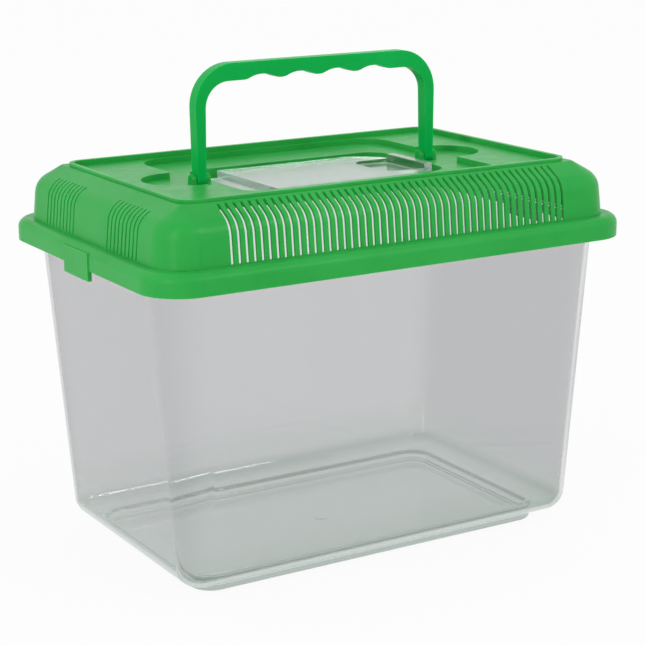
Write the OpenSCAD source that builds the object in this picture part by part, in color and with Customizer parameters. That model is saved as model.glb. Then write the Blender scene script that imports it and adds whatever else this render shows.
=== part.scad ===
// Plastic pet keeper: a clear tank, a green lid with vents, a folding handle and a clear hatch in the lid.
// Sizes are in millimetres. X runs along the long side, Y from front to back and Z up. The origin is at
// the middle of the foot, on the table.

/* [Tank] */
// Length of the tank where its walls would meet the table
tank_l = 194.7; // [170:0.1:240]
// Width of the tank where its walls would meet the table
tank_w = 120.6; // [110:0.1:160]
// Height of the tank
tank_h = 141.5; // [100:0.5:180]
// Lean of the walls from upright, in degrees
tank_draft = 4.35; // [3:0.05:6]
// Radius of the tank's corners at the table
tank_corner_r = 10.5; // [10:0.5:14]
// Radius between the walls and the bottom
tank_fillet_r = 10; // [5:0.5:10]
// Thickness of the walls and the bottom
tank_wall = 1.8; // [1.2:0.1:2.5]
// How far the flange round the mouth stands out from the walls
flange_out = 4.5; // [3:0.1:6]
// Thickness of the flange
flange_t = 2.4; // [1.5:0.1:4]
// Step in from the walls to the foot
foot_inset = 10.35; // [10:0.05:20]
// Height of the foot
foot_h = 4.7; // [2:0.1:8]
// Radius of the foot's corners
foot_corner_r = 10.2; // [5:0.1:14]
// Radius of the foot's lower edge
foot_edge_r = 1.2; // [0.4:0.1:2]
// Radius of the gate mark in the middle of the floor
gate_r = 3.2; // [2:0.1:5]
// Height of the gate mark above the floor
gate_h = 0.3; // [0.2:0.1:0.6]

/* [Lid] */
// Thickness of the lid's walls
lid_wall = 1.3; // [1:0.1:2]
// Gap between the flange of the tank and the skirt of the lid
lid_gap = 1.1; // [0.9:0.1:2]
// Gap between the mouth of the tank and the ledge that lies over it
rest_gap = 0.3; // [0.2:0.1:0.5]
// Height of the skirt
skirt_h = 9.4; // [7:0.1:14]
// Radius of the skirt's corners
skirt_corner_r = 18.7; // [12:0.1:24]
// Radius of the skirt's upper edge
skirt_edge_r = 4; // [2:0.1:5]
// Width of the ledge between the skirt and the dome
ledge_w = 6.1; // [5:0.1:9]
// Height of the dome above the ledge
dome_h = 23; // [21:0.5:30]
// Radius of the dome's corners at the ledge
dome_corner_r = 15; // [14:0.5:20]
// Lean of the dome's walls from upright, in degrees
dome_draft = 5.7; // [3:0.1:8]
// Radius of the knee between the dome's walls and its shoulder
knee_r = 9.5; // [6:0.5:11]
// Slope of the shoulder from level, in degrees
shoulder_angle = 30; // [25:1:35]
// Radius of the dome's corners at the roof
roof_edge_r = 1.8; // [1:0.1:4]
// Width of the snap tab at each end
tab_w = 24; // [15:0.5:40]
// How far a tab hangs below the skirt
tab_drop = 4.3; // [3:0.1:8]
// How far a tab stands proud of the skirt
tab_proud = 0.5; // [0.3:0.1:1]
// How far the bead inside a tab stands in
bead_in = 0.6; // [0.3:0.1:0.7]

/* [Roof] */
// Step in from the roof's edge to the rim
rim_inset = 1.1; // [0.5:0.1:3]
// Width of the rim
rim_w = 2; // [1:0.1:3]
// Height of the rim above the roof's edge
rim_h = 1.4; // [0.5:0.1:3]
// Radius of the rim's corners
rim_corner_r = 8; // [4:0.5:14]
// Depth of the roof panel below the top of the rim
panel_depth = 2.3; // [1.6:0.1:3.5]
// Length of the pan round the hatch
pan_l = 126; // [125:0.5:150]
// Width of the panel's strip between the rim and the pan
pan_margin = 1.6; // [1:0.1:6]
// Depth of the pan below the roof panel
pan_depth = 2.6; // [1.5:0.1:3.5]
// Radius of the pan's corners
pan_corner_r = 15; // [8:0.5:24]
// Radius of the round notch at each end of the pan
notch_r = 17; // [12:0.5:24]
// Distance of a notch's centre beyond the end of the pan
notch_out = 3; // [0:0.5:6]

/* [Vents] */
// Number of slots in each long side
vent_count = 48; // [10:1:50]
// Distance between the middles of two slots
vent_pitch = 3.42; // [2.5:0.01:3.5]
// Width of a slot
vent_w = 1.45; // [1:0.05:1.8]
// Height of a slot's sill above the ledge
vent_sill = 0.2; // [0.2:0.1:2]
// How far the slots run in from the dome's foot
vent_reach = 12.3; // [8:0.1:12.5]
// Number of grooves in each ribbed patch on the ends
rib_count = 9; // [4:1:9]
// Distance between the middles of two grooves
rib_pitch = 3.44; // [2.5:0.01:3.5]
// Width of a groove
rib_gap = 1.3; // [0.6:0.1:1.8]
// Depth of a groove
rib_depth = 0.5; // [0.2:0.1:0.7]
// Distance of the first groove from the middle of the end
rib_start = 17; // [14:0.5:20]
// Distance of the grooves' upper ends below the roof's edge
rib_top = 3.6; // [2:0.1:8]

/* [Hatch] */
// Distance of the hatch's hinge in from the nearest ear of the handle
hinge_inset = 7.15; // [6.5:0.05:20]
// Gap between the free end of the hatch and the nearest ear of the handle
hatch_end_gap = 2.65; // [0.6:0.05:20]
// Width of the hatch
hatch_w = 60; // [50:0.5:70]
// Thickness of the hatch's plate
hatch_t = 3; // [2.6:0.1:3.5]
// Bevel of the plate's corners at the free end
hatch_bevel = 14.2; // [8:0.1:17]
// Length of the thin strip between the hinge and the plate
strip_l = 12.5; // [6:0.5:20]
// Thickness of the strip
strip_t = 1.2; // [1:0.1:1.4]
// Radius of the roll along the hinged end
roll_r = 1.2; // [1.1:0.1:1.4]
// Length of the roll and width of the strip
roll_l = 44; // [34:0.5:51]
// Radius of the hatch's hinge pins
hatch_pin_r = 0.8; // [0.6:0.05:0.95]
// Gap between the hatch and what stands beside it
hatch_gap = 0.4; // [0.3:0.1:1]
// Gap between the hatch and the seat that it lies over
hatch_rest = 0.3; // [0.2:0.1:0.5]
// Depth of the seat below the floor of the pan
seat_depth = 4.4; // [3.8:0.1:5.2]
// Radius of the seat's corners
seat_corner_r = 11; // [6:0.5:13]
// Length of the seat beyond the hinge
seat_tail = 5; // [4:0.1:5.8]
// Step in from the roll and from the thumb pocket to the opening
seat_lip = 1; // [0.5:0.1:2]
// Width of the seat from the ends of the roll in to the opening
seat_w = 2.5; // [1.5:0.5:5]
// Length of the lip at the free end
lip_l = 4; // [3:0.1:7]
// Width of the lip
lip_w = 31; // [20:0.5:36]
// Height of the lip
lip_h = 2.1; // [1:0.1:2.6]
// Length of the thumb pocket before the lip
pocket_l = 19.5; // [12:0.5:24]
// Width of the thumb pocket
pocket_w = 30.4; // [20:0.2:35]
// Depth of the thumb pocket
pocket_depth = 1.8; // [0.8:0.1:2.1]
// Radius of the pocket's corners
pocket_corner_r = 7; // [3:0.5:9]
// Width of a hinge lug beside the roll
lug_w = 2.8; // [2:0.1:3.4]
// Radius of a hinge lug round its pin
lug_r = 1.7; // [1.6:0.1:2.1]

/* [Handle] */
// Length of the handle
handle_l = 119.8; // [100:0.1:125]
// Distance from the pivots to the top of the handle
handle_reach = 48.2; // [44:0.1:50]
// Thickness of the handle from front to back
handle_t = 5.8; // [4:0.1:6]
// Width of a leg where it meets the grip
leg_top_w = 4.8; // [4:0.1:6]
// Width of a leg at its foot
leg_foot_w = 3.9; // [3:0.1:4]
// Outer radius of the handle's upper corners
handle_corner_r = 18; // [14:0.5:22]
// Inner radius of the handle's upper corners
handle_inner_r = 11; // [6:0.5:14]
// Height of the grip
grip_h = 7.5; // [6:0.1:9]
// Number of finger grooves under the grip
finger_count = 4; // [2:1:4]
// Distance between the middles of two finger grooves
finger_pitch = 18.6; // [16:0.1:20]
// Depth of a finger groove
finger_depth = 2; // [1:0.1:2.5]
// Radius of a finger groove
finger_r = 14; // [10:0.5:16]
// Height of the pivots above the floor of the pan
pivot_rise = 1.7; // [1.5:0.1:2.2]
// Radius of the handle's pivot pins
handle_pin_r = 1.2; // [0.9:0.05:1.3]
// Thickness of an ear that holds a pin
ear_t = 2; // [1.5:0.1:2.2]
// Radius of an ear round its pin
ear_r = 2.2; // [1.9:0.1:2.4]
// Gap between a leg and the ears at its sides
ear_gap = 0.4; // [0.3:0.1:0.6]
// Gap between a leg's foot and the bottom of its well
well_gap = 0.4; // [0.3:0.1:0.8]
// Length of a well from front to back
well_l = 12; // [12:0.5:20]

/* [Fits] */
// Radial clearance of a pin in its hole
pin_clearance = 0.06; // [0.02:0.01:0.1]

/* [Hidden] */
$fn = 96;

tank_colour = [0.80, 0.81, 0.82];
lid_colour = [0.22, 0.65, 0.27];
handle_colour = [0.16, 0.62, 0.25];
hatch_colour = [0.72, 0.80, 0.76];

// How far a cutting body runs past the surface that it opens
past = 1;
// Signs of the two halves of a mirrored pair
sides = [-1, 1];

// Tank: corner axes, and the line of its outer wall in a section through a corner
tank_cx = tank_l / 2 - tank_corner_r;
tank_cy = tank_w / 2 - tank_corner_r;
tank_n = [cos(tank_draft), -sin(tank_draft)];
tank_line = tank_corner_r * tank_n[0];
tank_fillet_z = foot_h + tank_fillet_r;
tank_fillet_c = [(tank_line - tank_fillet_r - tank_n[1] * tank_fillet_z) / tank_n[0], tank_fillet_z];
flange_z = tank_h - flange_t;
mouth_grow = tank_h * tan(tank_draft) + flange_out;
flange_l = tank_l + 2 * mouth_grow;
flange_w = tank_w + 2 * mouth_grow;
foot_l = tank_l - 2 * foot_inset;
foot_w = tank_w - 2 * foot_inset;

// Lid: outer size, corner axes of the skirt and the dome, and the levels of its faces
skirt_l = flange_l + 2 * (lid_gap + lid_wall);
skirt_w = flange_w + 2 * (lid_gap + lid_wall);
skirt_cx = skirt_l / 2 - skirt_corner_r;
skirt_cy = skirt_w / 2 - skirt_corner_r;
flange_corner_r = skirt_corner_r - lid_wall - lid_gap;
dome_cx = skirt_l / 2 - ledge_w - dome_corner_r;
dome_cy = skirt_w / 2 - ledge_w - dome_corner_r;
ledge_under_z = tank_h + rest_gap;
ledge_z = ledge_under_z + lid_wall;
skirt_z = ledge_z - skirt_h;
roof_z = ledge_z + dome_h;
rim_z = roof_z + rim_h;
panel_z = rim_z - panel_depth;
pan_z = panel_z - pan_depth;
seat_z = pan_z - seat_depth;

// Dome: the lines of its wall and of its shoulder in a section, and the centre of the knee between them
wall_n = [cos(dome_draft), sin(dome_draft)];
shoulder_n = [sin(shoulder_angle), cos(shoulder_angle)];
wall_line = wall_n * [dome_corner_r, ledge_z];
shoulder_line = shoulder_n * [roof_edge_r, roof_z];
knee_c = crossing(wall_line - knee_r, shoulder_line - knee_r);

// Roof: the rim and the pan
rim_l = 2 * (dome_cx + roof_edge_r - rim_inset);
rim_d = 2 * (dome_cy + roof_edge_r - rim_inset);
panel_l = rim_l - 2 * rim_w;
panel_d = rim_d - 2 * rim_w;
pan_d = panel_d - 2 * pan_margin;
notch_x = pan_l / 2 + notch_out;

// Handle: its pivots, the middle of its legs and the ears beside them
pivot_z = pan_z + pivot_rise;
leg_x = (handle_l - leg_top_w) / 2;
handle_top_z = pivot_z + handle_reach;
foot_r = handle_t / 2;
ear_in_x = leg_x - leg_foot_w / 2 - ear_gap;
ear_out_x = leg_x + leg_foot_w / 2 + ear_gap;
well_z = pivot_z - foot_r - well_gap;

// Hatch: its levels, its length between the ears of the handle, its hinge and the seat round it
hatch_z = seat_z + hatch_rest;
hatch_top_z = hatch_z + hatch_t;
hatch_hinge_z = hatch_z + roll_r;
hatch_hinge_x = ear_t - ear_in_x + hinge_inset;
plate_x = hatch_hinge_x + strip_l;
hatch_end_x = ear_in_x - ear_t - hatch_end_gap;
lip_x = hatch_end_x - lip_l;
pocket_x = lip_x - pocket_l;
seat_x0 = hatch_hinge_x - seat_tail;
seat_x1 = hatch_end_x + hatch_gap;
seat_d = hatch_w + 2 * hatch_gap;
hatch_pin_l = roll_l + 2 * (hatch_gap + lug_w);

// Where the wall line and the shoulder line of the dome cross, each given by its distance from the axis
function crossing(wall_d, shoulder_d) =
    let (det = wall_n[0] * shoulder_n[1] - wall_n[1] * shoulder_n[0])
    [(wall_d * shoulder_n[1] - shoulder_d * wall_n[1]) / det,
     (shoulder_d * wall_n[0] - wall_d * shoulder_n[0]) / det];

// Slice of a disc between two lines from its centre, kept inside the outline through the far corner
module pie(centre, r, p, corner, q) {
    intersection() {
        translate(centre) circle(r);
        polygon([centre, p, corner, q]);
    }
}

// Rectangle with round corners
module round_rect(l, w, r) {
    square([l - 2 * r, w], center = true);
    square([l, w - 2 * r], center = true);
    for (x = sides, y = sides)
        translate([x * (l / 2 - r), y * (w / 2 - r)])
            circle(r);
}

// Slab with round corners between two levels
module slab(l, w, r, z0, z1) {
    translate([0, 0, z0])
        linear_extrude(z1 - z0)
            round_rect(l, w, r);
}

// Body whose section is the same all the way round: the child section stands on four corner axes
module round_body(cx, cy, z0, z1) {
    translate([-cx, -cy, z0])
        cube([2 * cx, 2 * cy, z1 - z0]);
    for (turn = [0, 180])
        rotate(turn) {
            translate([cx, cy, 0])
                rotate_extrude(angle = 90)
                    children();
            translate([-cx, cy, 0])
                rotate(90)
                    rotate_extrude(angle = 90)
                        children();
            translate([-cx, cy, 0])
                rotate([90, 0, 90])
                    linear_extrude(2 * cx)
                        children();
            translate([cx, cy, 0])
                rotate([90, 0, 0])
                    linear_extrude(2 * cy)
                        children();
        }
}

// Section of a block whose upper or lower outer edge is rounded
module edge_section(r, z0, z1, top_r, bottom_r) {
    difference() {
        translate([0, z0])
            square([r, z1 - z0]);
        if (top_r > 0)
            translate([r - top_r, z1 - top_r])
                difference() {
                    square(top_r + past);
                    circle(top_r);
                }
        if (bottom_r > 0)
            translate([r - bottom_r, z0 + bottom_r])
                mirror([0, 1])
                    difference() {
                        square(bottom_r + past);
                        circle(bottom_r);
                    }
    }
}

// Section of the flange, whose upper edge keeps clear of the rounded edge of the skirt over it
module flange_section() {
    intersection() {
        edge_section(skirt_corner_r - lid_wall - rest_gap, flange_z, tank_h,
                     skirt_edge_r - lid_wall - rest_gap, 0);
        translate([0, flange_z])
            square([flange_corner_r, flange_t]);
    }
}

// Section of the tank's body, its surface moved in by inset, up to level z1
module tank_section(inset, z1) {
    z0 = foot_h + inset;
    r = tank_fillet_r - inset;
    line = tank_line - inset;
    low = [tank_fillet_c[0], z0];
    corner = [(line - tank_n[1] * z0) / tank_n[0], z0];
    side = tank_fillet_c + r * tank_n;
    top_r = (line - tank_n[1] * z1) / tank_n[0];
    polygon([[0, z0], low, side, [top_r, z1], [0, z1]]);
    pie(tank_fillet_c, r, low, corner, side);
}

// Section of the dome, its surface moved in by inset, between two levels
module dome_section(inset, z0, z1) {
    r = knee_r - inset;
    wall = wall_line - inset;
    shoulder = shoulder_line - inset;
    low_r = (wall - wall_n[1] * z0) / wall_n[0];
    top_r = (shoulder - shoulder_n[1] * z1) / shoulder_n[0];
    side = knee_c + r * wall_n;
    top = knee_c + r * shoulder_n;
    polygon([[0, z0], [low_r, z0], side, top, [top_r, z1], [0, z1]]);
    pie(knee_c, r, side, crossing(wall, shoulder), top);
}

// Outside of the tank without its mouth: the leaning body and the foot under it
module tank_outside() {
    round_body(tank_cx, tank_cy, foot_h, tank_h)
        tank_section(0, tank_h);
    round_body(foot_l / 2 - foot_corner_r, foot_w / 2 - foot_corner_r, 0, foot_h + tank_wall)
        edge_section(foot_corner_r, 0, foot_h + tank_wall, 0, foot_edge_r);
}

// Space inside the tank, which steps down into the foot
module tank_inside() {
    round_body(tank_cx, tank_cy, foot_h + tank_wall, tank_h + past)
        tank_section(tank_wall, tank_h + past);
    slab(foot_l - 2 * tank_wall, foot_w - 2 * tank_wall, foot_corner_r - tank_wall,
         tank_wall, foot_h + 2 * tank_wall);
}

module tank() {
    color(tank_colour)
        union() {
            difference() {
                union() {
                    tank_outside();
                    round_body(skirt_cx, skirt_cy, flange_z, tank_h)
                        flange_section();
                }
                tank_inside();
            }
            translate([0, 0, tank_wall / 2])
                cylinder(r = gate_r, h = tank_wall / 2 + gate_h);
        }
}

// Shell of the lid: the skirt, the ledge, the dome and the rim round the roof, open below
module lid_shell() {
    difference() {
        union() {
            round_body(skirt_cx, skirt_cy, skirt_z, ledge_z)
                edge_section(skirt_corner_r, skirt_z, ledge_z, skirt_edge_r, 0);
            round_body(dome_cx, dome_cy, ledge_under_z, roof_z)
                dome_section(0, ledge_under_z, roof_z);
            slab(rim_l, rim_d, rim_corner_r, roof_z - lid_wall, rim_z);
        }
        round_body(skirt_cx, skirt_cy, skirt_z - past, ledge_under_z)
            edge_section(skirt_corner_r - lid_wall, skirt_z - past, ledge_under_z,
                         skirt_edge_r - lid_wall, 0);
        round_body(dome_cx, dome_cy, ledge_under_z - past, panel_z - lid_wall)
            dome_section(lid_wall, ledge_under_z - past, panel_z - lid_wall);
        slab(panel_l, panel_d, rim_corner_r - rim_w, panel_z, rim_z + past);
    }
}

// Pan with a round notch at each end, its sides moved out by grow
module pan(grow, z0, z1) {
    slab(pan_l + 2 * grow, pan_d + 2 * grow, pan_corner_r + grow, z0, z1);
    for (x = sides)
        translate([x * notch_x, 0, z0])
            cylinder(r = notch_r + grow, h = z1 - z0);
}

// Seat of the hatch, its sides moved out by grow
module seat(grow, z0, z1) {
    translate([(seat_x0 + seat_x1) / 2, 0])
        slab(seat_x1 - seat_x0 + 2 * grow, seat_d + 2 * grow, seat_corner_r + grow, z0, z1);
}

// Opening under the hatch, from its hinge to its thumb pocket
module hatch_opening() {
    x0 = hatch_hinge_x + roll_r + seat_lip;
    w = roll_l - 2 * seat_w;
    translate([x0, -w / 2, seat_z - lid_wall - past])
        cube([pocket_x - seat_lip - x0, w, lid_wall + 2 * past]);
}

// Wells under the legs of the handle, their sides moved out by grow
module wells(grow, z0, z1) {
    for (x = sides)
        translate([x * leg_x, 0, (z0 + z1) / 2])
            cube([leg_foot_w + 2 * (ear_gap + grow), well_l + 2 * grow, z1 - z0], center = true);
}

// Slots that let air in through both long sides of the dome
module vents() {
    depth = vent_reach + past;
    for (i = [0 : vent_count - 1], turn = [0, 180])
        rotate(turn)
            translate([(i - (vent_count - 1) / 2) * vent_pitch - vent_w / 2,
                       dome_cy + dome_corner_r - vent_reach, ledge_z + vent_sill])
                cube([vent_w, depth, dome_h]);
}

// Grooves of the ribbed patches, cut to an even depth over the wall and the knee of both ends
module rib_grooves() {
    z0 = ledge_z + vent_sill;
    z1 = roof_z - rib_top;
    for (turn = [0, 180], side = sides, i = [0 : rib_count - 1])
        rotate(turn)
            translate([dome_cx, side * (rib_start + i * rib_pitch) + rib_gap / 2, 0])
                rotate([90, 0, 0])
                    linear_extrude(rib_gap)
                        difference() {
                            translate([0, z0])
                                square([dome_corner_r + past, z1 - z0]);
                            dome_section(rib_depth, z0 - past, panel_z);
                        }
}

// Snap tab in the middle of each end, with a bead that catches under the tank's flange
module tabs() {
    x0 = skirt_l / 2 - lid_wall;
    z0 = skirt_z - tab_drop;
    bead_z = flange_z - rest_gap - bead_in;
    for (turn = [0, 180])
        rotate(turn) {
            translate([x0, -tab_w / 2, z0])
                cube([lid_wall + tab_proud, tab_w, ledge_z - skirt_edge_r / 2 - z0]);
            translate([x0, 0, bead_z])
                rotate([90, 0, 0])
                    cylinder(r = bead_in, h = tab_w / 2, center = true);
        }
}

// Round lug on a stem that runs along X from x0, with a hole for a pin
module lug_x(x0, t, z, r, floor_z) {
    translate([x0, -r, floor_z])
        cube([t, 2 * r, z - floor_z]);
    translate([x0, 0, z])
        rotate([0, 90, 0])
            cylinder(r = r, h = t);
}

// Ears that hold the pins of the handle, one at each side of each leg
module ears() {
    for (turn = [0, 180])
        rotate(turn) {
            lug_x(ear_in_x - ear_t, ear_t, pivot_z, ear_r, pan_z - lid_wall);
            lug_x(ear_out_x, ear_t, pivot_z, ear_r, pan_z - lid_wall);
        }
}

// Lugs that hold the pins of the hatch, one at each side of its roll
module hinge_lugs() {
    for (y = sides)
        translate([hatch_hinge_x, y * (roll_l / 2 + hatch_gap + lug_w / 2), 0])
            rotate(90)
                lug_x(-lug_w / 2, lug_w, hatch_hinge_z, lug_r, seat_z - lid_wall);
}

// Holes for the pins of the handle and of the hatch
module pin_holes() {
    translate([0, 0, pivot_z])
        rotate([0, 90, 0])
            cylinder(r = handle_pin_r + pin_clearance, h = handle_l + 2 * ear_r, center = true);
    translate([hatch_hinge_x, 0, hatch_hinge_z])
        rotate([90, 0, 0])
            cylinder(r = hatch_pin_r + pin_clearance, h = hatch_pin_l + 2 * past, center = true);
}

module lid() {
    color(lid_colour)
        difference() {
            union() {
                difference() {
                    union() {
                        lid_shell();
                        pan(lid_wall, pan_z - lid_wall, panel_z);
                        seat(lid_wall, seat_z - lid_wall, pan_z);
                        wells(lid_wall, well_z - lid_wall, pan_z);
                    }
                    pan(0, pan_z, panel_z + past);
                    seat(0, seat_z, pan_z + past);
                    wells(0, well_z, pan_z + past);
                    hatch_opening();
                    vents();
                    rib_grooves();
                }
                ears();
                hinge_lugs();
                tabs();
            }
            pin_holes();
        }
}

// Outline of the handle from the front, with the finger grooves under the grip
module handle_outline() {
    top_x = leg_x + leg_top_w / 2;
    foot_x = leg_x + leg_foot_w / 2;
    in_top_x = leg_x - leg_top_w / 2;
    in_foot_x = leg_x - leg_foot_w / 2;
    corner_z = handle_top_z - handle_corner_r;
    grip_z = handle_top_z - grip_h;
    inner_z = grip_z - handle_inner_r;
    difference() {
        union() {
            polygon([[-foot_x, pivot_z], [foot_x, pivot_z], [top_x, corner_z], [-top_x, corner_z]]);
            translate([-top_x + handle_corner_r, corner_z])
                square([2 * (top_x - handle_corner_r), handle_corner_r]);
            for (x = sides)
                translate([x * (top_x - handle_corner_r), corner_z])
                    circle(handle_corner_r);
        }
        polygon([[-in_foot_x, pivot_z], [-in_top_x, inner_z], [in_top_x, inner_z], [in_foot_x, pivot_z],
                 [in_foot_x, pivot_z - past], [-in_foot_x, pivot_z - past]]);
        translate([-in_top_x + handle_inner_r, inner_z - past])
            square([2 * (in_top_x - handle_inner_r), handle_inner_r + past]);
        for (x = sides)
            translate([x * (in_top_x - handle_inner_r), inner_z])
                circle(handle_inner_r);
        for (i = [0 : finger_count - 1])
            translate([(i - (finger_count - 1) / 2) * finger_pitch, grip_z + finger_depth - finger_r])
                circle(finger_r);
    }
}

module handle() {
    color(handle_colour) {
        rotate([90, 0, 0])
            linear_extrude(handle_t, center = true)
                handle_outline();
        for (x = sides)
            translate([x * leg_x, 0, pivot_z])
                rotate([0, 90, 0]) {
                    cylinder(r = foot_r, h = leg_foot_w, center = true);
                    cylinder(r = handle_pin_r, h = leg_foot_w + 2 * (ear_gap + ear_t), center = true);
                }
    }
}

// Outline of the plate of the hatch from above, bevelled at the corners of its free end
module plate_outline() {
    bevel_x = hatch_end_x - hatch_bevel;
    side_y = hatch_w / 2;
    end_y = side_y - hatch_bevel;
    polygon([[plate_x, -side_y], [bevel_x, -side_y], [hatch_end_x, -end_y],
             [hatch_end_x, end_y], [bevel_x, side_y], [plate_x, side_y]]);
}

// Thumb pocket in the plate, round at its far corners and square at the lip
module pocket() {
    z0 = hatch_top_z - pocket_depth;
    intersection() {
        translate([lip_x, 0])
            slab(2 * pocket_l, pocket_w, pocket_corner_r, z0, hatch_top_z + past);
        translate([pocket_x - past, -pocket_w, z0 - past])
            cube([pocket_l + past, 2 * pocket_w, pocket_depth + 3 * past]);
    }
}

module hatch() {
    color(hatch_colour)
        difference() {
            union() {
                translate([0, 0, hatch_z])
                    linear_extrude(hatch_t)
                        plate_outline();
                translate([0, 0, hatch_z])
                    linear_extrude(hatch_t + lip_h)
                        intersection() {
                            plate_outline();
                            translate([lip_x, -lip_w / 2])
                                square([lip_l, lip_w]);
                        }
                translate([hatch_hinge_x, -roll_l / 2, hatch_z])
                    cube([strip_l + past, roll_l, strip_t]);
                translate([hatch_hinge_x, 0, hatch_hinge_z])
                    rotate([90, 0, 0]) {
                        cylinder(r = roll_r, h = roll_l, center = true);
                        cylinder(r = hatch_pin_r, h = hatch_pin_l, center = true);
                    }
            }
            pocket();
        }
}

tank();
lid();
handle();
hatch();
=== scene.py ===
# %% [markdown]
# # A clear pet keeper with a green lid
#
# A small box for insects, fish or mice on the move. A clear tank stands on a low foot,
# a green lid with rows of vent slots clips over it, a carrying handle stands up from
# the lid, and a clear hatch between the handle's feet opens for feeding.
#
# The exact solids already exist as a CAD model, which gives every piece its place. This
# lesson dresses them: it makes the finishes, remodels the pieces whose gloss or
# clearness asks for softer edges than a CAD model has, and sets up the light and the
# camera.

import math

import bmesh
import bpy
from mathutils import Matrix, Vector


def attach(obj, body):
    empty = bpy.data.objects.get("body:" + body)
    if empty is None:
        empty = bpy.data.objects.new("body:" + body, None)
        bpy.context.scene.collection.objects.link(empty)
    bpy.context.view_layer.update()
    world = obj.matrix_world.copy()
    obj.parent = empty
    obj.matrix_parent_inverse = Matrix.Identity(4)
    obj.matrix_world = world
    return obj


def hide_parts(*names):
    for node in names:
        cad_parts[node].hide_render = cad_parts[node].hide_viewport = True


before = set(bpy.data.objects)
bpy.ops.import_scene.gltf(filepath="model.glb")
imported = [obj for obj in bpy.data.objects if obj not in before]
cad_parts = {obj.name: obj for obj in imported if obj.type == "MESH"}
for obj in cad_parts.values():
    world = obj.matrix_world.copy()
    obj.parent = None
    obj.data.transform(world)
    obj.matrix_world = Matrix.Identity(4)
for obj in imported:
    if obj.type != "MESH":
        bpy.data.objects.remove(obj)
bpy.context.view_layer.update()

# %% [markdown]
# ## Camera
#
# The box is seen from the front left and a little above, from less than a metre away,
# so its long edges run together slightly. A camera can be aimed with a constraint, but
# plain turns say the same in one line and leave nothing to solve: first the roll, then
# the tilt up from straight down, then the heading. Places are in metres, angles in
# degrees, and the lens and the film in millimetres.

# %% Camera
CAMERA_AT = (-0.4093, -0.6914, 0.2990)
HEADING, PITCH, ROLL = 30.768, 14.331, -0.551
LENS, FILM_WIDTH = 103.51, 36
FARTHEST = 40

camera = bpy.data.objects.new("camera", bpy.data.cameras.new("camera"))
camera.data.lens = LENS
camera.data.sensor_width = FILM_WIDTH
camera.data.clip_end = FARTHEST
camera.matrix_world = (
    Matrix.Translation(CAMERA_AT)
    @ Matrix.Rotation(math.radians(-HEADING), 4, "Z")
    @ Matrix.Rotation(math.radians(90 - PITCH), 4, "X")
    @ Matrix.Rotation(math.radians(ROLL), 4, "Z")
)
bpy.context.scene.collection.objects.link(camera)
bpy.context.scene.camera = camera
bpy.context.scene.view_settings.view_transform = "Standard"
print("camera lens", LENS, "mm")

# %% [markdown]
# ## Helpers for materials
#
# Each finish is a small node tree, and a few helpers keep the cells short. A Mix node
# keeps its sockets for numbers, vectors and colours side by side, so its colour sockets
# are picked by their place in the row. Noise is read from Object coordinates, so that
# it stays put whichever way the object is turned or viewed. Most of it lies between 0.3
# and 0.7, so that part is spread over the range asked for.

# %% Node helpers
MIX_SHARE, MIX_FIRST, MIX_SECOND, MIX_RESULT = 0, 6, 7, 2
NOISE_LOW, NOISE_HIGH = 0.3, 0.7


def add_node(tree, kind, inputs=None, **settings):
    node = tree.nodes.new(kind)
    for name, value in settings.items():
        setattr(node, name, value)
    for socket, value in (inputs or {}).items():
        if isinstance(value, bpy.types.NodeSocket):
            tree.links.new(value, node.inputs[socket])
        else:
            node.inputs[socket].default_value = value
    return node


def new_material(name):
    material = bpy.data.materials.new(name)
    material.use_nodes = True
    material.node_tree.nodes.clear()
    return material, material.node_tree


def calculate(tree, operation, first, second):
    inputs = {0: first, 1: second}
    return add_node(tree, "ShaderNodeMath", inputs, operation=operation).outputs[0]


def mix_colours(tree, share, first, second):
    inputs = {MIX_SHARE: share, MIX_FIRST: first, MIX_SECOND: second}
    node = add_node(tree, "ShaderNodeMix", inputs, data_type="RGBA")
    return node.outputs[MIX_RESULT]


def mix_shaders(tree, share, first, second):
    inputs = {0: share, 1: first.outputs[0], 2: second.outputs[0]}
    return add_node(tree, "ShaderNodeMixShader", inputs)


def object_noise(tree, scale, detail):
    place = add_node(tree, "ShaderNodeTexCoord").outputs["Object"]
    inputs = {"Vector": place, "Scale": scale, "Detail": detail}
    return add_node(tree, "ShaderNodeTexNoise", inputs).outputs["Fac"]


def spread_noise(tree, scale, detail, low, high):
    inputs = {
        "Value": object_noise(tree, scale, detail),
        "From Min": NOISE_LOW,
        "From Max": NOISE_HIGH,
        "To Min": low,
        "To Max": high,
    }
    return add_node(tree, "ShaderNodeMapRange", inputs).outputs["Result"]


print("material helpers ready")

# %% [markdown]
# ## Studio: a white sweep
#
# Clear and glossy plastic is mostly a picture of what stands round it, so the
# surroundings matter more here than the lamps. The world and the floor are white where
# the camera, a reflection or a look through the tank meets them, while the light they
# shed on the object stays at a plain level. The floor mixes that white with an ordinary
# matt surface, so the object's soft shadow still shows on it. It lies a hair under the
# tank's foot: two surfaces in exactly the same place would flicker through each other.

# %% World and floor
WHITE, MATT_GREY = (1, 1, 1, 1), (0.8, 0.8, 0.8, 1)
WORLD_LIGHT, FLOOR_WHITE = 0.80, 0.94
FLOOR_RADIUS, FLOOR_DROP, FLOOR_SIDES = 9, 0.0003, 64


def seen_directly(tree):
    path = add_node(tree, "ShaderNodeLightPath")
    seen = path.outputs["Is Camera Ray"]
    for ray in ("Is Glossy Ray", "Is Transmission Ray"):
        seen = calculate(tree, "MAXIMUM", seen, path.outputs[ray])
    return seen


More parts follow.
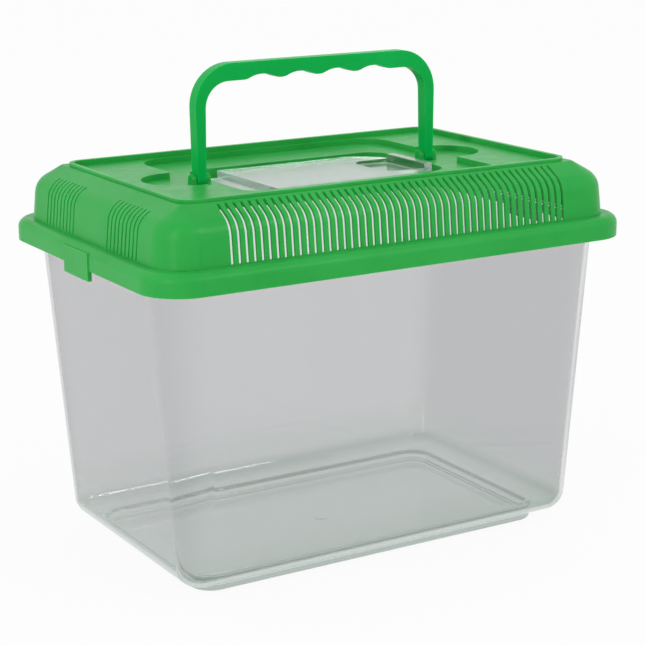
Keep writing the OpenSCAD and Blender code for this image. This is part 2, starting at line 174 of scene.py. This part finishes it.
world = bpy.data.worlds.new("studio")
bpy.context.scene.world = world
world.use_nodes = True
tree = world.node_tree
tree.nodes.clear()
light = add_node(
    tree, "ShaderNodeBackground", {"Color": WHITE, "Strength": WORLD_LIGHT}
)
white = add_node(tree, "ShaderNodeBackground", {"Color": WHITE, "Strength": 1})
both = mix_shaders(tree, seen_directly(tree), light, white)
add_node(tree, "ShaderNodeOutputWorld", {"Surface": both.outputs[0]})

floor_paint, tree = new_material("white_sweep")
matt = add_node(tree, "ShaderNodeBsdfDiffuse", {"Color": MATT_GREY})
glow = add_node(tree, "ShaderNodeEmission", {"Color": WHITE, "Strength": 1})
share = calculate(tree, "MULTIPLY", seen_directly(tree), FLOOR_WHITE)
both = mix_shaders(tree, share, matt, glow)
add_node(tree, "ShaderNodeOutputMaterial", {"Surface": both.outputs[0]})

bm = bmesh.new()
bmesh.ops.create_circle(
    bm,
    cap_ends=True,
    segments=FLOOR_SIDES,
    radius=FLOOR_RADIUS,
    matrix=Matrix.Translation((0, 0, -FLOOR_DROP)),
)
mesh = bpy.data.meshes.new("floor")
bm.to_mesh(mesh)
bm.free()
mesh.materials.append(floor_paint)
floor = bpy.data.objects.new("floor", mesh)
bpy.context.scene.collection.objects.link(floor)
print("floor radius", FLOOR_RADIUS, "m")

# %% [markdown]
# ## Lamps
#
# Beside the light of the world, two soft lamps add highlights to the plastic: a tall,
# narrow one low on the left, and a smaller one high on the right. Both point at the
# middle of the box.

# %% Lamps
LAMP_AIM = Vector((0, 0, 0.1))


def soft_lamp(name, at, size, power):
    data = bpy.data.lights.new(name, "AREA")
    data.shape = "RECTANGLE"
    data.size, data.size_y = size
    data.energy = power
    lamp = bpy.data.objects.new(name, data)
    lamp.location = at
    lamp.rotation_euler = (LAMP_AIM - Vector(at)).to_track_quat("-Z", "Y").to_euler()
    bpy.context.scene.collection.objects.link(lamp)


soft_lamp("lamp_left", at=(-1.35, -0.78, 0.72), size=(0.2, 1.25), power=9)
soft_lamp("lamp_right", at=(0.9, -1.6, 1.45), size=(0.3, 0.5), power=8)

# %% [markdown]
# ## Green moulded plastic
#
# The lid and the handle are injection moulded polypropylene: a saturated green, satin
# rather than mirror-like, with a very fine skin from the mould. The colour could be one
# flat value, but a real moulding varies a little where the melt cooled unevenly. Slow
# noise shifts the green slightly, finer noise varies the roughness, and the finest one
# gives the skin through a weak bump. The roughness stays at 0.28 or above, because a
# smoother lid came out with dark specks.
#
# Thin walls of this plastic also let some light through, which keeps slots and grooves
# from going dark. Subsurface scattering over a few millimetres does most of that, and a
# faint painted glow of the same green stands in for the light that reaches a groove
# through the whole wall and lifts the shade there. A low specular level keeps the
# colour deep.

# %% Green plastic
CLOUD_SCALE, GLOSS_SCALE, SKIN_SCALE = 22, 140, 900
GLOSS_BELOW, GLOSS_ABOVE = 0.04, 0.05
SKIN_STRENGTH, SKIN_HEIGHT = 0.05, 0.0002
SCATTER_SHARE, SCATTER_RADIUS, SCATTER_SCALE = 0.55, (0.3, 1.0, 0.35), 0.003
# the last value is the strength of a painted green glow that lifts the shade in slots
# and grooves
GREEN_IOR, INNER_LIGHT = 1.49, 0.13


def green_plastic(name, light, deep, roughness, shine):
    material, tree = new_material(name)
    cloud = spread_noise(tree, CLOUD_SCALE, detail=2, low=0, high=1)
    gloss = spread_noise(
        tree,
        GLOSS_SCALE,
        detail=3,
        low=roughness - GLOSS_BELOW,
        high=roughness + GLOSS_ABOVE,
    )
    skin = add_node(
        tree,
        "ShaderNodeBump",
        {
            "Height": object_noise(tree, SKIN_SCALE, detail=2),
            "Strength": SKIN_STRENGTH,
            "Distance": SKIN_HEIGHT,
        },
    )
    surface = add_node(
        tree,
        "ShaderNodeBsdfPrincipled",
        {
            "Base Color": mix_colours(tree, cloud, light, deep),
            "Roughness": gloss,
            "Normal": skin.outputs["Normal"],
            "IOR": GREEN_IOR,
            "Specular IOR Level": shine,
            "Subsurface Weight": SCATTER_SHARE,
            "Subsurface Radius": SCATTER_RADIUS,
            "Subsurface Scale": SCATTER_SCALE,
            # painted glow in the lid's own green, lifting the shade in slots and
            # grooves
            "Emission Color": light,
            "Emission Strength": INNER_LIGHT,
        },
    )
    add_node(tree, "ShaderNodeOutputMaterial", {"Surface": surface.outputs[0]})
    return material


lid_green = green_plastic(
    "green_lid_plastic",
    light=(0.026, 0.334, 0.059, 1),
    deep=(0.014, 0.294, 0.044, 1),
    roughness=0.325,
    shine=0.13,
)
handle_green = green_plastic(
    "green_handle_plastic",
    light=(0.003, 0.370, 0.070, 1),
    deep=(0.001, 0.330, 0.052, 1),
    roughness=0.32,
    shine=0.08,
)
print("made", lid_green.name, "and", handle_green.name)

# %% [markdown]
# ## Clear moulded plastic
#
# The tank is clear polystyrene with a grey cast. Clear plastic is a shader that
# refracts and tints what lies behind it; because each wall has two real surfaces, the
# tint builds up with every wall that a look passes through. Shade is painted over that
# tint: the end walls get a painted darker tint, and every wall where it is seen edge on
# gets a painted dark outline, which stands in for the dark surroundings that clear
# mouldings show at their edges. Over the lowest three centimetres the tint is painted
# darker and greener as shade near the foot, deepest on the slanting faces of the
# fillets.
#
# Light on its way to other surfaces should get through nearly straight, so shadow and
# diffuse rays meet a plain see-through shader instead of the refracting one. And light
# can run on inside a clear sheet for dozens of bounces before it gets out; a ray that
# has bounced more than seven times is given a painted pale glow instead of black.

# %% Clear plastic
# painted shade near the foot fades out between these heights, in metres; the next line
# sets the painted dark outline and the painted shade on slanting faces
LOW_END, LOW_START = 0.003, 0.030
RIM_FALLOFF, SLANT_PEAK = 5, 0.5
HAZE_SCALE, HAZE = 60, 0.02
SWAY_SCALE, SWAY_HEIGHT = 9, 0.002
CLEAR_IOR = 1.53
LAST_BOUNCE, SHEET_GLOW = 7.5, (0.52, 0.57, 0.55, 1)


def clear_tint(tree, tint, end_tint, edge_tint, low_tint, slant_tint):
    place = add_node(tree, "ShaderNodeTexCoord")
    spot = add_node(tree, "ShaderNodeSeparateXYZ", {"Vector": place.outputs["Object"]})
    facing = add_node(
        tree, "ShaderNodeSeparateXYZ", {"Vector": place.outputs["Normal"]}
    )
    # painted shade: faces turned towards the ends get a darker tint
    endways = calculate(tree, "POWER", facing.outputs["X"], 2)
    wall = mix_colours(tree, endways, tint, end_tint)
    # painted shade: a dark outline where a wall is seen edge on, standing in for dark
    # surroundings
    grazing = add_node(tree, "ShaderNodeLayerWeight", {"Blend": 0.5})
    rim = calculate(tree, "POWER", grazing.outputs["Facing"], RIM_FALLOFF)
    wall = mix_colours(tree, rim, wall, edge_tint)
    # painted shade: darker still on the slanting faces of the fillets
    slant = calculate(tree, "PINGPONG", facing.outputs["Z"], SLANT_PEAK)
    low = mix_colours(tree, slant, low_tint, slant_tint)
    # painted shade near the foot: the lowest three centimetres take the darker, greener
    # colour
    height = add_node(
        tree,
        "ShaderNodeMapRange",
        {"Value": spot.outputs["Z"], "From Min": LOW_END, "From Max": LOW_START},
    )
    return mix_colours(tree, height.outputs["Result"], low, wall)


def clear_plastic(name, roughness, wave, **tints):
    material, tree = new_material(name)
    colour = clear_tint(tree, **tints)
    haze = spread_noise(
        tree, HAZE_SCALE, detail=2, low=roughness, high=roughness + HAZE
    )
    sway = add_node(
        tree,
        "ShaderNodeBump",
        {
            "Height": object_noise(tree, SWAY_SCALE, detail=1),
            "Strength": wave,
            "Distance": SWAY_HEIGHT,
        },
    )
    clear = add_node(
        tree,
        "ShaderNodeBsdfPrincipled",
        {
            "Base Color": colour,
            "Roughness": haze,
            "IOR": CLEAR_IOR,
            "Transmission Weight": 1,
            "Normal": sway.outputs["Normal"],
        },
    )
    passing = add_node(tree, "ShaderNodeBsdfTransparent", {"Color": colour})
    path = add_node(tree, "ShaderNodeLightPath").outputs
    lighting = calculate(
        tree, "MAXIMUM", path["Is Shadow Ray"], path["Is Diffuse Ray"]
    )
    sheet = mix_shaders(tree, lighting, clear, passing)
    # painted glow: a ray past seven bounces shows a pale emission instead of black
    spent = calculate(tree, "GREATER_THAN", path["Ray Depth"], LAST_BOUNCE)
    glow = add_node(tree, "ShaderNodeEmission", {"Color": SHEET_GLOW, "Strength": 1})
    whole = mix_shaders(tree, spent, sheet, glow)
    add_node(tree, "ShaderNodeOutputMaterial", {"Surface": whole.outputs[0]})
    return material


tank_clear = clear_plastic(
    "clear_tank_plastic",
    roughness=0.015,
    wave=0.10,
    tint=(0.740, 0.742, 0.748, 1),
    # the end, edge, foot and slant colours below are painted shade laid over the tint
    end_tint=(0.645, 0.647, 0.655, 1),
    edge_tint=(0.16, 0.16, 0.18, 1),
    low_tint=(0.66, 0.715, 0.685, 1),
    slant_tint=(0.22, 0.33, 0.27, 1),
)
hatch_clear = clear_plastic(
    "clear_hatch_plastic",
    roughness=0.16,
    wave=0.05,
    tint=(0.595, 0.735, 0.655, 1),
    # the end, edge, foot and slant colours below are painted shade laid over the tint
    end_tint=(0.56, 0.74, 0.64, 1),
    edge_tint=(0.45, 0.62, 0.53, 1),
    low_tint=(0.60, 0.77, 0.67, 1),
    slant_tint=(0.56, 0.74, 0.64, 1),
)
print("made", tank_clear.name, "and", hatch_clear.name)

# %% [markdown]
# At the rims, the step and the foot a look passes through many layers of clear plastic
# before it comes out, so it is allowed more bounces than usual.

# %% Long looks through clear edges
CLEAR_BOUNCES, GLOSSY_BOUNCES = 16, 12

cycles = bpy.context.scene.cycles
cycles.max_bounces = CLEAR_BOUNCES
cycles.transmission_bounces = CLEAR_BOUNCES
cycles.glossy_bounces = GLOSSY_BOUNCES
print("bounces", cycles.max_bounces)

# %% [markdown]
# ## Drawing with a pen
#
# Outlines are drawn as a pen would draw them: a vertex is extruded along the straights
# and spun round the corners, and each call returns the vertex where the pen has come
# to. The other helpers pick the vertices out of an operator's answer, round off edges
# or corners, find the edges that are sharper than an angle, and add a pin.


# %% Drawing helpers
def only_verts(geom):
    return [item for item in geom if isinstance(item, bmesh.types.BMVert)]


def draw_to(bm, tip, at):
    new = bmesh.ops.extrude_vert_indiv(bm, verts=[tip])["verts"][0]
    new.co = at
    return new


def draw_round(bm, tip, centre, axis, degrees, steps):
    spun = bmesh.ops.spin(
        bm,
        geom=[tip],
        cent=centre,
        axis=axis,
        angle=math.radians(degrees),
        steps=steps,
    )
    return only_verts(spun["geom_last"])[0]


def soften(bm, geom, offset, segments, affect="EDGES", clamp=False):
    bmesh.ops.bevel(
        bm,
        geom=geom,
        offset=offset,
        offset_type="OFFSET",
        affect=affect,
        segments=segments,
        profile=0.5,
        material=-1,
        clamp_overlap=clamp,
    )


def sharper_than(bm, degrees):
    limit = math.radians(degrees)
    return [edge for edge in bm.edges if edge.calc_face_angle(0) > limit]


def add_pin(bm, at, about, radius, length, segments):
    bmesh.ops.create_cone(
        bm,
        cap_ends=True,
        segments=segments,
        radius1=radius,
        radius2=radius,
        depth=length,
        matrix=Matrix.Translation(at) @ Matrix.Rotation(math.pi / 2, 4, about),
    )


print("pen ready")

# %% [markdown]
# ## Finishing a mesh
#
# Every new piece ends the same way. Double vertices are merged, the faces are turned
# outwards, the mesh goes from millimetres to metres, and edges sharper than a limit
# stay crisp while the rest are shaded smooth. Level faces are shaded flat: on a clear
# floor the least turn of a normal shows as a line. A Weighted Normal modifier then
# keeps the other large faces flat beside their small rounded edges. At the end the
# piece rides on its body and stands in for its CAD node.

# %% Finish helper
DOUBLES, MM, LEVEL, SHARP = 0.002, 0.001, 0.9999, 32


def finish_piece(bm, name, node, body, material):
    bmesh.ops.remove_doubles(bm, verts=bm.verts, dist=DOUBLES)
    bmesh.ops.recalc_face_normals(bm, faces=bm.faces)
    bmesh.ops.scale(bm, vec=(MM, MM, MM), verts=bm.verts)
    for face in bm.faces:
        face.normal_update()
        face.smooth = abs(face.normal.z) < LEVEL
    for edge in bm.edges:
        edge.smooth = edge.calc_face_angle(0) < math.radians(SHARP)
    mesh = bpy.data.meshes.new(name)
    bm.to_mesh(mesh)
    bm.free()
    mesh.materials.append(material)
    piece = bpy.data.objects.new(name, mesh)
    bpy.context.scene.collection.objects.link(piece)
    even = piece.modifiers.new("even shading", "WEIGHTED_NORMAL")
    even.keep_sharp = True
    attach(piece, body)
    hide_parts(node)
    print(name, len(mesh.polygons), "faces")


# %% [markdown]
# ## Rings round four corners
#
# The tank is a rounded rectangle at every height: four quarter circles joined by
# straight edges. The first ring is drawn by spinning a vertex a quarter turn about each
# corner's axis. Each further ring is an extrusion of the last one, scaled about the
# corner axes to its new radius and moved to its new axes and height. So a list of
# rings, like the passes of a potter's hand, makes the whole wall, inside and out.

# %% Ring helpers
CORNER_STEPS = 14
QUARTERS = ((1, 1), (-1, 1), (-1, -1), (1, -1))
UPWARDS = (0, 0, 1)


def first_ring(bm, cx, cy, r, z):
    ends = []
    for turn, (sx, sy) in enumerate(QUARTERS):
        centre = Vector((sx * cx, sy * cy, z))
        arm = Matrix.Rotation(turn * math.pi / 2, 3, "Z") @ Vector((r, 0, 0))
        start = bm.verts.new(centre + arm)
        ends.append((start, draw_round(bm, start, centre, UPWARDS, 90, CORNER_STEPS)))
    for turn in range(4):
        bmesh.ops.contextual_create(bm, geom=[ends[turn][1], ends[(turn + 1) % 4][0]])
    return {"at": (cx, cy, r, z), "edges": list(bm.edges)}


def extrude_ring(bm, edges):
    grown = bmesh.ops.extrude_edge_only(bm, edges=edges)["geom"]
    verts = only_verts(grown)
    fresh = set(verts)
    edges = [
        item
        for item in grown
        if isinstance(item, bmesh.types.BMEdge) and fresh.issuperset(item.verts)
    ]
    return verts, edges


def next_ring(bm, ring, cx, cy, r, z):
    old_cx, old_cy, old_r, old_z = ring["at"]
    verts, edges = extrude_ring(bm, ring["edges"])
    for sx, sy in QUARTERS:
        corner = [v for v in verts if v.co.x * sx > 0 and v.co.y * sy > 0]
        bmesh.ops.scale(
            bm,
            vec=(r / old_r, r / old_r, 1),
            space=Matrix.Translation((-sx * old_cx, -sy * old_cy, 0)),
            verts=corner,
        )
        shift = (sx * (cx - old_cx), sy * (cy - old_cy), z - old_z)
        bmesh.ops.translate(bm, vec=shift, verts=corner)
    return {"at": (cx, cy, r, z), "edges": edges}


def arc_rings(axes, centre_r, centre_z, radius, start, end, steps):
    rings = []
    for i in range(steps + 1):
        angle = math.radians(start + (end - start) * i / steps)
        r = centre_r + radius * math.cos(angle)
        rings.append((*axes, r, centre_z + radius * math.sin(angle)))
    return rings


print("corner steps", CORNER_STEPS)

# %% [markdown]
# ## The tank
#
# One clear moulding: a flat foot with a rounded lower edge, a wide fillet up into walls
# that lean out by a few degrees so that the moulding leaves its tool, and a flange
# round the mouth. The inside follows at the wall's thickness and steps down into the
# foot. Real clear edges are never quite sharp: the small rounds on them catch the
# bright lines that make the tank readable, so every edge here gets its own few rings.

# %% Tank sizes, in millimetres
TANK_L, TANK_W, TANK_H = 194.7, 120.6, 141.5
DRAFT, CORNER_R, FILLET_R, WALL = 4.35, 10.5, 10.0, 1.8
FOOT_L, FOOT_W, FOOT_R, FOOT_H, FOOT_EDGE = 174.0, 99.9, 10.2, 4.7, 1.2
FLANGE_AXES, FLANGE_R, FLANGE_T = (96.32, 59.27), 16.3, 2.4
FLANGE_TOP_AT, FLANGE_TOP_R, FLANGE_TOP_START = (14.7, 139.1), 2.4, 48
STEP_ROUND, STEP_HOLLOW, SMALL = 1.6, 1.8, 0.45
FILLET_STEPS, EDGE_STEPS, SMALL_STEPS = 12, 5, 3

tank_axes = (TANK_L / 2 - CORNER_R, TANK_W / 2 - CORNER_R)
foot_axes = (FOOT_L / 2 - FOOT_R, FOOT_W / 2 - FOOT_R)
lean = math.radians(DRAFT)
fillet_z = FOOT_H + FILLET_R
fillet_c = CORNER_R - FILLET_R / math.cos(lean) + fillet_z * math.tan(lean)
under_flange = TANK_H - FLANGE_T
inner_r = FOOT_R - WALL
print("fillet centre", round(fillet_c, 2), round(fillet_z, 2))


# %% Tank rings, from under the foot, up the outside and down the inside
def wall_r(z, inset=0.0):
    return CORNER_R + z * math.tan(lean) - inset / math.cos(lean)


neck_r, mouth_r = wall_r(under_flange) + SMALL, wall_r(TANK_H, WALL) + SMALL
step_r, step_z = inner_r + STEP_ROUND, FOOT_H + WALL - STEP_ROUND
hollow_r, hollow_z = inner_r - STEP_HOLLOW, WALL + STEP_HOLLOW

# each row: corner axes, the arc centre's r and z, its radius, its start and end, steps
arcs = (
    (foot_axes, FOOT_R - FOOT_EDGE, FOOT_EDGE, FOOT_EDGE, -90, 0, EDGE_STEPS),
    (foot_axes, FOOT_R + SMALL, FOOT_H - SMALL, SMALL, 180, 90, SMALL_STEPS),
    (tank_axes, fillet_c, fillet_z, FILLET_R, -90, -DRAFT, FILLET_STEPS),
    (tank_axes, neck_r, under_flange - SMALL, SMALL, 180, 90, SMALL_STEPS),
    (FLANGE_AXES, FLANGE_R - SMALL, under_flange + SMALL, SMALL, -90, 0, SMALL_STEPS),
    (FLANGE_AXES, *FLANGE_TOP_AT, FLANGE_TOP_R, FLANGE_TOP_START, 90, EDGE_STEPS),
    (tank_axes, mouth_r, TANK_H - SMALL, SMALL, 90, 180, SMALL_STEPS),
    (tank_axes, fillet_c, fillet_z, FILLET_R - WALL, -DRAFT, -90, FILLET_STEPS),
    (foot_axes, step_r, step_z, STEP_ROUND, 90, 180, FILLET_STEPS),
    (foot_axes, hollow_r, hollow_z, STEP_HOLLOW, 0, -90, FILLET_STEPS),
)
rings = [place for arc in arcs for place in arc_rings(*arc)]
print(len(rings), "rings")

# %% Tank body
bm = bmesh.new()
ring = first_ring(bm, *rings[0])
bmesh.ops.contextual_create(bm, geom=ring["edges"])
for place in rings[1:]:
    ring = next_ring(bm, ring, *place)
print(len(bm.verts), "vertices in the tank's skin")

# %% [markdown]
# The floor is closed round the gate mark, the small round pip where the plastic entered
# the mould. The flat floor is filled between the last ring and a small circle. The
# circle is then extruded inwards in two steps, each a little higher, and capped, so
# that the mark is part of the floor's own skin.

# %% Tank floor with its gate mark
GATE_R, GATE_SIDES = 3.2, 48
GATE_INSETS, GATE_HEIGHTS = (0.25, 0.6), (0.06, 0.08)

circle = bmesh.ops.create_circle(
    bm,
    cap_ends=False,
    segments=GATE_SIDES,
    radius=GATE_R,
    matrix=Matrix.Translation((0, 0, WALL)),
)["verts"]
edges = list(dict.fromkeys(edge for vert in circle for edge in vert.link_edges))
bmesh.ops.triangle_fill(
    bm, use_beauty=True, normal=UPWARDS, edges=ring["edges"] + edges
)
for inset, height in zip(GATE_INSETS, GATE_HEIGHTS):
    verts, edges = extrude_ring(bm, edges)
    share = (GATE_R - inset) / math.hypot(verts[0].co.x, verts[0].co.y)
    bmesh.ops.scale(bm, vec=(share, share, 1), verts=verts)
    lift = WALL + height - verts[0].co.z
    bmesh.ops.translate(bm, vec=(0, 0, lift), verts=verts)
bmesh.ops.contextual_create(bm, geom=edges)
finish_piece(
    bm,
    name="tank_shell",
    node="tank",
    body="tank_body",
    material=tank_clear,
)

# %% [markdown]
# ## The handle
#
# A flat green moulding that stands in the lid's pan on two round feet: two legs that
# narrow downwards, round shoulders, and a grip whose underside has four shallow finger
# grooves. Its outline is drawn in one go, filled and given its thickness, and its edges
# are rounded with a bevel.

# %% Handle sizes, in millimetres
LEG_X, LEG_TOP, LEG_FOOT = 57.5, 4.8, 3.9
PIVOT_Z, REACH, HANDLE_T = 164.3, 48.2, 5.8
OUTER_R, INNER_R, GRIP_H = 18.0, 11.0, 7.5
OUTER_STEPS, INNER_STEPS = 14, 10
FINGERS, FINGER_PITCH, FINGER_DEPTH, FINGER_R = 4, 18.6, 2.0, 14.0
CUSP_R, HANDLE_EDGE_R, FOOT_SLACK = 1.6, 0.6, 0.02
PIN_R, PIN_HALF = 1.2, 4.35
CLOSE = 0.01

handle_top = PIVOT_Z + REACH
foot_z = PIVOT_Z - HANDLE_T / 2
outer_x = LEG_X + LEG_TOP / 2
inner_x = LEG_X - LEG_TOP / 2
foot_outer_x = LEG_X + LEG_FOOT / 2
foot_inner_x = LEG_X - LEG_FOOT / 2
grip_z = handle_top - GRIP_H
print("handle top", handle_top)


# %% Upright pen, for outlines seen from the front
def pen_to(bm, tip, x, z):
    return draw_to(bm, tip, (x, tip.co.y, z))


def pen_round(bm, tip, cx, cz, degrees, steps):
    centre = (cx, tip.co.y, cz)
    return draw_round(bm, tip, centre, (0, -1, 0), degrees, steps)


print("upright pen ready")

# %% Handle outline, round the outside and back under the grip
shoulder_x, shoulder_z = outer_x - OUTER_R, handle_top - OUTER_R
armpit_x, armpit_z = inner_x - INNER_R, grip_z - INNER_R

bm = bmesh.new()
start = bm.verts.new((foot_outer_x, -HANDLE_T / 2, foot_z))
tip = pen_to(bm, start, foot_outer_x, PIVOT_Z)
tip = pen_to(bm, tip, outer_x, shoulder_z)
tip = pen_round(bm, tip, shoulder_x, shoulder_z, 90, OUTER_STEPS)
tip = pen_to(bm, tip, -shoulder_x, handle_top)
tip = pen_round(bm, tip, -shoulder_x, shoulder_z, 90, OUTER_STEPS)
tip = pen_to(bm, tip, -foot_outer_x, PIVOT_Z)
tip = pen_to(bm, tip, -foot_outer_x, foot_z)
tip = pen_to(bm, tip, -foot_inner_x, foot_z)
tip = pen_to(bm, tip, -foot_inner_x, PIVOT_Z)
tip = pen_to(bm, tip, -inner_x, armpit_z)
tip = pen_round(bm, tip, -armpit_x, armpit_z, -90, INNER_STEPS)

finger_z = grip_z - (FINGER_R - FINGER_DEPTH)
groove_half = math.degrees(math.acos((FINGER_R - FINGER_DEPTH) / FINGER_R))
groove_chord = FINGER_R * math.sin(math.radians(groove_half))
cusps = []
for i in range(FINGERS):
    middle = (i - (FINGERS - 1) / 2) * FINGER_PITCH
    tip = pen_to(bm, tip, middle - groove_chord, grip_z)
    cusps.append(tip)
    tip = pen_round(bm, tip, middle, finger_z, -2 * groove_half, INNER_STEPS)
    cusps.append(tip)
tip = pen_to(bm, tip, armpit_x, grip_z)
tip = pen_round(bm, tip, armpit_x, armpit_z, -90, INNER_STEPS)
tip = pen_to(bm, tip, foot_inner_x, PIVOT_Z)
tip = pen_to(bm, tip, foot_inner_x, foot_z)
bmesh.ops.contextual_create(bm, geom=[tip, start])
print(len(bm.verts), "vertices in the outline")

# %% [markdown]
# The corners between the finger grooves are rounded first, while they are still corners
# of a flat outline. Then the outline is filled and extruded. The two lower edges of
# each foot are beveled by half the handle's thickness, which turns the square foot into
# the half round one that swings in the lid.

# %% Handle body
soften(bm, cusps, offset=CUSP_R, segments=4, affect="VERTICES")
bmesh.ops.contextual_create(bm, geom=list(bm.edges))
bmesh.ops.recalc_face_normals(bm, faces=bm.faces)
grown = bmesh.ops.extrude_face_region(bm, geom=list(bm.faces), use_keep_orig=True)
bmesh.ops.translate(bm, vec=(0, HANDLE_T, 0), verts=only_verts(grown["geom"]))
bmesh.ops.recalc_face_normals(bm, faces=bm.faces)
feet = [
    edge
    for edge in bm.edges
    if all(abs(v.co.z - foot_z) < CLOSE for v in edge.verts)
    and abs(edge.verts[0].co.y - edge.verts[1].co.y) < CLOSE
]
soften(bm, feet, offset=HANDLE_T / 2 - FOOT_SLACK, segments=8)
print(len(feet), "foot edges rounded")

# %% Handle edges and pins
rims = sharper_than(bm, degrees=60)
soften(bm, rims, offset=HANDLE_EDGE_R, segments=3, clamp=True)
for side in (-1, 1):
    add_pin(
        bm,
        at=(side * LEG_X, 0, PIVOT_Z),
        about="Y",
        radius=PIN_R,
        length=2 * PIN_HALF,
        segments=24,
    )
finish_piece(
    bm,
    name="handle_moulding",
    node="handle",
    body="handle_body",
    material=handle_green,
)

# %% [markdown]
# ## The lid
#
# The lid is one thin green moulding, cut by nearly a hundred slots. The exact solid
# already has the dome's smooth rounds and each slot in its place, so it keeps its own
# mesh and gets the green finish in its material slots.

# %% Lid finish
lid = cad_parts["lid"]
for slot in lid.material_slots:
    slot.material = lid_green
print("lid:", len(lid.data.polygons), "faces")

# %% [markdown]
# ## The hatch
#
# A clear plate that lies sunk in the lid. Its free end is beveled at both corners and
# carries a low lip, with a shallow pocket for the thumb before it. A thin strip joins
# the other end to a roll with two pins, on which the hatch turns. The plate, the pocket
# and the lip are first drawn as three flat faces that share their edges, and each face
# is then extruded to its own level. So the plate stays one closed skin, which clear
# plastic needs: a lump pushed into another would show its hidden faces through it.

# %% Hatch sizes, in millimetres
PLATE_X, END_X, SIDE_Y, BEVEL = -33.5, 50.5, 30.0, 14.2
PLATE_Z, PLATE_T = 158.5, 3.0
LIP_X, LIP_Y, LIP_H = 46.5, 15.5, 2.1
POCKET_X, POCKET_R, POCKET_DEPTH, POCKET_STEPS = 27.0, 7.0, 1.8, 8
HINGE_X, ROLL_R, ROLL_Y, STRIP_T = -46.0, 1.2, 22.0, 1.2
ROLL_TURN, ROLL_STEPS, STRIP_OVERLAP = 270, 24, 0.3
HATCH_PIN_R, HATCH_PIN_Y = 0.8, 25.2
HATCH_EDGE_R = 0.35

top_z = PLATE_Z + PLATE_T
hinge_z = PLATE_Z + ROLL_R
print("top of the hatch at", top_z)


# %% Flat pen, for outlines seen from above
def flat_to(bm, tip, x, y):
    return draw_to(bm, tip, (x, y, tip.co.z))


def flat_round(bm, tip, cx, cy, degrees, steps):
    return draw_round(bm, tip, (cx, cy, tip.co.z), UPWARDS, degrees, steps)


def join_up(bm, first, last):
    return bmesh.ops.contextual_create(bm, geom=[first, last])["edges"]


def fill(bm, edges):
    return bmesh.ops.contextual_create(bm, geom=edges)["faces"][0]


print("flat pen ready")

# %% Three faces of the hatch
pocket_end_x, pocket_end_y = POCKET_X + POCKET_R, LIP_Y - POCKET_R

bm = bmesh.new()
pocket_low = bm.verts.new((LIP_X, -LIP_Y, top_z))
tip = flat_to(bm, pocket_low, pocket_end_x, -LIP_Y)
tip = flat_round(bm, tip, pocket_end_x, -pocket_end_y, -90, POCKET_STEPS)
tip = flat_to(bm, tip, POCKET_X, pocket_end_y)
tip = flat_round(bm, tip, pocket_end_x, pocket_end_y, -90, POCKET_STEPS)
pocket_high = flat_to(bm, tip, LIP_X, LIP_Y)
pocket_edges = list(bm.edges)
shared = join_up(bm, pocket_high, pocket_low)
pocket_face = fill(bm, pocket_edges + shared)

before = set(bm.edges)
lip_high = flat_to(bm, pocket_high, END_X, LIP_Y)
lip_low = flat_to(bm, lip_high, END_X, -LIP_Y)
lip_side = [edge for edge in bm.edges if edge not in before]
lip_side += join_up(bm, lip_low, pocket_low)
lip_face = fill(bm, lip_side + shared)

before = set(bm.edges)
tip = flat_to(bm, lip_high, END_X, SIDE_Y - BEVEL)
tip = flat_to(bm, tip, END_X - BEVEL, SIDE_Y)
tip = flat_to(bm, tip, PLATE_X, SIDE_Y)
tip = flat_to(bm, tip, PLATE_X, -SIDE_Y)
tip = flat_to(bm, tip, END_X - BEVEL, -SIDE_Y)
tip = flat_to(bm, tip, END_X, BEVEL - SIDE_Y)
rim = [edge for edge in bm.edges if edge not in before]
rim += join_up(bm, tip, lip_low)
inner = [edge for edge in lip_side if set(edge.verts) != {lip_high, lip_low}]
plate_face = fill(bm, rim + inner + pocket_edges)
print(len(bm.faces), "flat faces,", len(plate_face.verts), "corners round the plate")


# %% Levels of the hatch
def raise_faces(bm, faces, dz, keep=False):
    grown = bmesh.ops.extrude_face_region(bm, geom=faces, use_keep_orig=keep)["geom"]
    if not keep:
        bmesh.ops.delete(bm, geom=faces, context="FACES_KEEP_BOUNDARY")
    bmesh.ops.translate(bm, vec=(0, 0, dz), verts=only_verts(grown))
    return [item for item in grown if isinstance(item, bmesh.types.BMFace)]


lower = raise_faces(bm, [plate_face, pocket_face, lip_face], -PLATE_T, keep=True)
bmesh.ops.dissolve_faces(bm, faces=lower)
raise_faces(bm, [pocket_face], -POCKET_DEPTH)
raise_faces(bm, [lip_face], LIP_H)
bmesh.ops.recalc_face_normals(bm, faces=bm.faces)
rims = sharper_than(bm, degrees=40)
soften(bm, rims, offset=HATCH_EDGE_R, segments=3, clamp=True)
print("open edges:", sum(edge.is_boundary for edge in bm.edges))

# %% [markdown]
# The strip and its roll are one profile, seen from the side: most of a circle, run out
# into a thin bar. It is drawn with the same pen as the handle and extruded across the
# hatch. The bar reaches a hair into the plate's end, so that no gap shows there.

# %% Strip, roll and pins
strip_x = PLATE_X + STRIP_OVERLAP

strip = bmesh.new()
start = strip.verts.new((strip_x, -ROLL_Y, PLATE_Z))
tip = pen_to(strip, start, strip_x, PLATE_Z + STRIP_T)
tip = pen_to(strip, tip, HINGE_X + ROLL_R, hinge_z)
tip = pen_round(strip, tip, HINGE_X, hinge_z, ROLL_TURN, ROLL_STEPS)
join_up(strip, tip, start)
profile = fill(strip, list(strip.edges))
grown = bmesh.ops.extrude_face_region(strip, geom=[profile], use_keep_orig=True)
bmesh.ops.translate(strip, vec=(0, 2 * ROLL_Y, 0), verts=only_verts(grown["geom"]))
add_pin(
    strip,
    at=(HINGE_X, 0, hinge_z),
    about="X",
    radius=HATCH_PIN_R,
    length=2 * HATCH_PIN_Y,
    segments=20,
)
joined = bpy.data.meshes.new("strip")
strip.to_mesh(joined)
strip.free()
bm.from_mesh(joined)
bpy.data.meshes.remove(joined)
finish_piece(
    bm,
    name="hatch_plate",
    node="hatch",
    body="hatch_body",
    material=hatch_clear,
)
